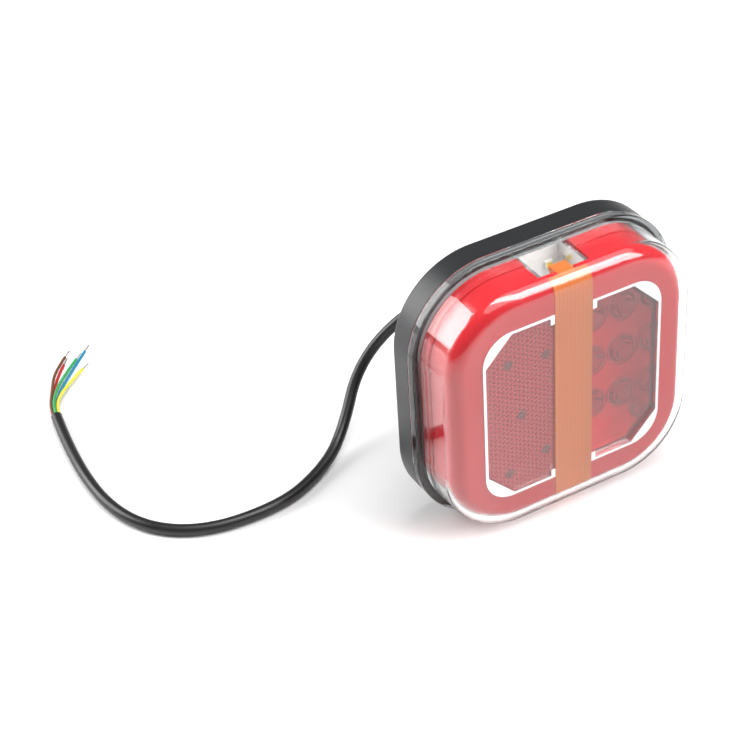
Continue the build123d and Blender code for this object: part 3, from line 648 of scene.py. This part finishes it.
# %% Post spots
post_spots, spots_in, spots_out = new_group("post_spots", [("Place", VECTOR, None)], [("Spot", FLOAT)])
flat = add_node(
    post_spots, "ShaderNodeVectorMath",
    {0: spots_in.outputs["Place"], 1: (1, 0, 1)}, operation="MULTIPLY")
spot_sum = None
for x, z in REFLEX_POSTS:
    gap = add_node(post_spots, "ShaderNodeVectorMath", {
        0: flat.outputs["Vector"], 1: (x * MM, 0, z * MM)}, operation="DISTANCE")
    edge = add_node(post_spots, "ShaderNodeMapRange", {
        "Value": gap.outputs["Value"], "From Min": POST_R * 0.75 * MM, "From Max": POST_R * 1.15 * MM,
        "To Min": 0.85, "To Max": 0.0})
    if spot_sum is None:
        spot_sum = edge.outputs["Result"]
    else:
        larger = add_node(
            post_spots, "ShaderNodeMath",
            {0: spot_sum, 1: edge.outputs["Result"]}, operation="MAXIMUM")
        spot_sum = larger.outputs[0]
post_spots.links.new(spot_sum, spots_out.inputs["Spot"])
print(post_spots.name, "covers", len(REFLEX_POSTS), "posts")

# %% [markdown]
# ## Clear cover and lenses
# The outer cover is clear acrylic. A closed clear part stops a lamp's light from
# reaching what is inside it, so for shadow rays the material turns transparent. The red
# and amber lenses use the same trick with their own tint.

# %% Clear plastics
def let_lamps_through(material, tint):
    """For shadow rays the material is see-through with this tint."""
    tree = material.node_tree
    path = add_node(tree, "ShaderNodeLightPath")
    clear = add_node(tree, "ShaderNodeBsdfTransparent", {"Color": (*tint, 1)})
    mix = add_node(tree, "ShaderNodeMixShader")
    tree.links.new(path.outputs["Is Shadow Ray"], mix.inputs[0])
    tree.links.new(shader_of(material).outputs[0], mix.inputs[1])
    tree.links.new(clear.outputs[0], mix.inputs[2])
    tree.links.new(mix.outputs[0], tree.nodes["Material Output"].inputs["Surface"])


ACRYLIC_IOR = 1.49
RIDGE_SCALE = 210.0
MIX_A, MIX_B, MIX_COLOUR = 6, 7, 2
cover_clear = new_material(
    "cover_clear", (0.985, 0.99, 0.99), 0.02, Transmission_Weight=1.0, IOR=ACRYLIC_IOR)
let_lamps_through(cover_clear, (0.95, 0.95, 0.95))
paint(cover_clear, "outer_cover")

guide_red = new_material(
    "guide_red", (0.62, 0.012, 0.022), 0.2, Transmission_Weight=0.35, IOR=ACRYLIC_IOR)
let_lamps_through(guide_red, (0.6, 0.02, 0.03))
paint(guide_red, "red_light_guide")

strip_amber = new_material(
    "strip_amber", (0.7, 0.19, 0.025), 0.2, Transmission_Weight=0.4, IOR=ACRYLIC_IOR)
let_lamps_through(strip_amber, (0.7, 0.25, 0.03))
lines = add_node(strip_amber.node_tree, "ShaderNodeTexWave", {
    "Vector": add_node(strip_amber.node_tree, "ShaderNodeTexCoord").outputs["Object"],
    "Scale": RIDGE_SCALE, "Distortion": 0.0}, bands_direction="X")
raise_surface(strip_amber, lines.outputs["Fac"], 0.35, 0.08)
paint(strip_amber, "amber_strip")
print("painted cover, light guide and amber strip")

# %% Lenses in the panels
brake_red = new_material(
    "brake_red", (0.86, 0.03, 0.05), 0.06, Transmission_Weight=0.9, IOR=ACRYLIC_IOR)
let_lamps_through(brake_red, (0.8, 0.06, 0.08))
paint(brake_red, "brake_lens")

reflex_red = new_material(
    "reflex_red", (0.8, 0.02, 0.035), 0.12, Transmission_Weight=0.35, IOR=ACRYLIC_IOR)
let_lamps_through(reflex_red, (0.7, 0.04, 0.05))
prisms = use_group(reflex_red, prism_cells, Pitch=PRISM_PITCH * MM)
# Painted facet light: the cell mask mixes a dark red (painted shade) with a bright red (painted
# highlight).
facet_highlight_and_shade = add_node(reflex_red.node_tree, "ShaderNodeMix", {0: prisms.outputs["Cell"]}, data_type="RGBA")
facet_highlight_and_shade.inputs[MIX_A].default_value = (0.3, 0.004, 0.01, 1)
facet_highlight_and_shade.inputs[MIX_B].default_value = (0.92, 0.09, 0.11, 1)
posts = use_group(reflex_red, post_spots)
spotted = add_node(
    reflex_red.node_tree, "ShaderNodeMix",
    {0: posts.outputs["Spot"], MIX_A: facet_highlight_and_shade.outputs[MIX_COLOUR]}, data_type="RGBA")
spotted.inputs[MIX_B].default_value = (0.16, 0.03, 0.04, 1)
reflex_red.node_tree.links.new(spotted.outputs[MIX_COLOUR], shader_of(reflex_red).inputs["Base Color"])
raise_surface(reflex_red, prisms.outputs["Cell"], 0.6, 0.25)
paint(reflex_red, "reflex_reflector")

optic_clear = new_material(
    "optic_clear", (0.95, 0.96, 0.97), 0.04, Transmission_Weight=1.0, IOR=ACRYLIC_IOR)
let_lamps_through(optic_clear, (0.9, 0.9, 0.92))
paint(optic_clear, "brake_collimators")
print("painted brake lens, reflex lens and collimators")

# %% [markdown]
# ## Bright parts inside
# The bezels and the little reflector over the plate lamp are plastic with a mirror coat
# of vapour-deposited aluminium. The tray and the circuit board are white, so that the
# lenses in front of them look full of colour. A perfect mirror would look drawn, so each
# bright finish takes a little of the shared grain.

# %% Bright finishes
bezel_chrome = new_material("bezel_chrome", (0.9, 0.9, 0.91), 0.12, Metallic=1.0)
add_grain(bezel_chrome, 300.0, 0.08, 0.16, 0.05)
paint(bezel_chrome, "left_bezel", "right_bezel")

scoop_chrome = new_material("scoop_chrome", (0.86, 0.86, 0.87), 0.2, Metallic=1.0)
add_grain(scoop_chrome, 250.0, 0.12, 0.28, 0.3, 0.05)
paint(scoop_chrome, "plate_lamp_reflector")

tray_white = new_material("tray_white", (0.75, 0.74, 0.72), 0.4)
add_grain(tray_white, 900.0, 0.35, 0.5, 0.15)
paint(tray_white, "reflector_tray")
print("painted bezels, scoop and tray")

# %% Board and metal finishes
board_white = new_material("board_white", (0.8, 0.8, 0.78), 0.35)
add_grain(board_white, 500.0, 0.3, 0.45, 0.1)
paint(board_white, "main_circuit_board")

steel_zinc = new_material("steel_zinc", (0.62, 0.62, 0.63), 0.3, Metallic=1.0)
add_grain(steel_zinc, 700.0, 0.25, 0.4, 0.1)
paint(steel_zinc, studs, "board_screws")

tin = new_material("tin", (0.72, 0.68, 0.62), 0.3, Metallic=1.0)
add_grain(tin, 900.0, 0.22, 0.4, 0.2)
paint(tin, strand_tips, "solder_joints")

can_aluminium = new_material("can_aluminium", (0.78, 0.78, 0.8), 0.25, Metallic=1.0)
add_grain(can_aluminium, 600.0, 0.2, 0.32, 0.1)
paint(can_aluminium, "filter_capacitor")

chip_black = new_material("chip_black", (0.03, 0.03, 0.035), 0.45)
add_grain(chip_black, 1500.0, 0.4, 0.55, 0.3)
paint(chip_black, "driver_chips", "protection_diodes", "resistors")
print("painted board, metals and chips")

# %% [markdown]
# ## Light diodes
# A diode's white frame holds a yellow drop of phosphor, which stands out in front of it.
# Frame and drop are one solid, so the colour changes with the depth: only the front
# slice is yellow.

# %% Diode finish
EYE_FRONT_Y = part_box("brake_leds")[0].y
EYE_T = 0.2
led_white = new_material("led_white", (0.85, 0.82, 0.7), 0.35)
add_grain(led_white, 900.0, 0.3, 0.42, 0.1)
led_tree = led_white.node_tree
led_place = add_node(led_tree, "ShaderNodeSeparateXYZ", {
    "Vector": add_node(led_tree, "ShaderNodeTexCoord").outputs["Object"]})
led_eye = add_node(led_tree, "ShaderNodeMapRange", {
    "Value": led_place.outputs["Y"],
    "From Min": EYE_FRONT_Y + EYE_T * MM * 0.9, "From Max": EYE_FRONT_Y + EYE_T * MM * 0.5})
led_colour = add_node(led_tree, "ShaderNodeMix", {0: led_eye.outputs["Result"]}, data_type="RGBA")
led_colour.inputs[MIX_A].default_value = (0.85, 0.83, 0.76, 1)
led_colour.inputs[MIX_B].default_value = (0.86, 0.62, 0.08, 1)
led_tree.links.new(led_colour.outputs[MIX_COLOUR], shader_of(led_white).inputs["Base Color"])
paint(led_white, "tail_leds", "brake_leds", "indicator_leds", "plate_leds")
print("painted four groups of diodes")

# %% [markdown]
# ## Wire colours
# Core insulation is soft coloured PVC with a satin skin. Each wire is its own piece, so
# each takes its own plain colour with the shared grain, and no mask is needed.

# %% Wire finishes
WIRE_COLOURS = {
    "brown": (0.16, 0.06, 0.03), "red": (0.6, 0.03, 0.03), "green": (0.03, 0.33, 0.1),
    "blue": (0.02, 0.24, 0.42), "yellow": (0.85, 0.7, 0.05),
}
for colour, core in core_lines.items():
    wire = new_material("wire_" + colour, WIRE_COLOURS[colour], 0.4)
    add_grain(wire, 900.0, 0.32, 0.48, 0.2)
    paint(wire, core)
print("painted wires", list(WIRE_COLOURS))

# %% [markdown]
# ## Leads inside the housing
# The five leads inside are the same wires, one above another where they leave the gland.
# They are one piece, so a ramp with hard steps over the height gives each its colour.

# %% Inner leads
LEAD_STEP = 1.45
LEAD_MIDDLE_Z = 0.05
inner_wire = new_material("inner_wire", WIRE_COLOURS["green"], 0.4)
add_grain(inner_wire, 900.0, 0.32, 0.48, 0.2)
lead_tree = inner_wire.node_tree
lead_place = add_node(lead_tree, "ShaderNodeSeparateXYZ", {
    "Vector": add_node(lead_tree, "ShaderNodeTexCoord").outputs["Object"]})
lead_share = add_node(lead_tree, "ShaderNodeMapRange", {
    "Value": lead_place.outputs["Z"],
    "From Min": LEAD_MIDDLE_Z - 4 * LEAD_STEP * MM, "From Max": LEAD_MIDDLE_Z + 4 * LEAD_STEP * MM})
lead_bands = add_node(lead_tree, "ShaderNodeValToRGB", {"Fac": lead_share.outputs["Result"]})
lead_bands.color_ramp.interpolation = "CONSTANT"
lead_bands.color_ramp.elements[0].color = (*WIRE_COLOURS["brown"], 1)
lead_bands.color_ramp.elements[1].position = 0.8
lead_bands.color_ramp.elements[1].color = (*WIRE_COLOURS["blue"], 1)
for position, colour in ((0.25, "yellow"), (0.44, "green"), (0.56, "red")):
    lead_bands.color_ramp.elements.new(position).color = (*WIRE_COLOURS[colour], 1)
lead_tree.links.new(lead_bands.outputs["Color"], shader_of(inner_wire).inputs["Base Color"])
paint(inner_wire, "inner_leads")
print("inner leads have", len(lead_bands.color_ramp.elements), "colours")

# %% [markdown]
# ## Size
# The finished pieces have to fill the same space as the solids they stand for.
# Here the view layer is only brought up to date.

# %% Size and finish
bpy.context.view_layer.update()
